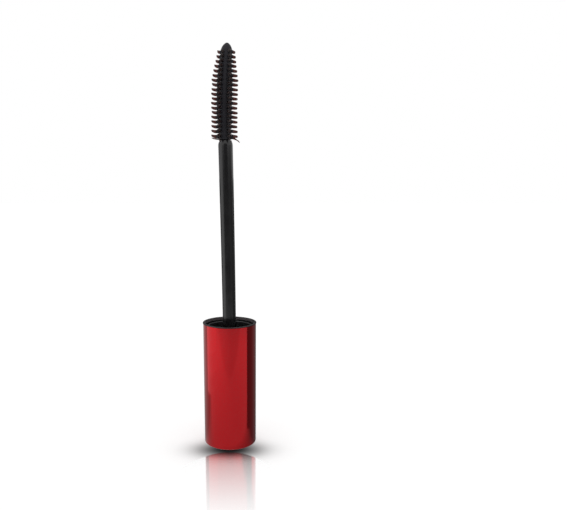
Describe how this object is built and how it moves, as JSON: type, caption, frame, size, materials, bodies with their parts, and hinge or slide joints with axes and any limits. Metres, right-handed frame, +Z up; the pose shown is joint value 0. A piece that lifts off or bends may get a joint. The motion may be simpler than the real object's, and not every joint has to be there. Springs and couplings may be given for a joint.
{
  "type": "mascara applicator",
  "caption": "Mascara applicator: a threaded cap standing on its closed end, with a slim wand and a tapered moulded bristle brush rising from it.",
  "frame": {"origin": "centre of the cap's closed end, on the plane that it stands on", "axes": "+Z up along the wand, from the closed end to the brush tip; -Y faces the viewer and +X is to the viewer's right"},
  "size_m": [0.0178, 0.0178, 0.128],
  "materials": {
    "cap_lacquer": "red metallic lacquer over black plastic",
    "liner_plastic": "black moulded, satin",
    "seal_foam": "soft, matt",
    "rod_plastic": "black moulded, satin",
    "brush_elastomer": "brown-black moulded elastomer"
  },
  "bodies": {
    "cap_and_wand": {"outer_cap": "cap_lacquer", "inner_cap": "liner_plastic", "neck_seal": "seal_foam", "wand_rod": "rod_plastic"},
    "brush_head": {"brush": "brush_elastomer"}
  },
  "joints": [
    {"name": "brush_flex", "type": "hinge", "parent": "cap_and_wand", "child": "brush_head", "pos_m": [0, 0, 0.0949], "axis": [0, 1, 0], "range_deg": [-4, 4], "stiffness_Nm_per_rad": 0.06}
  ]
}
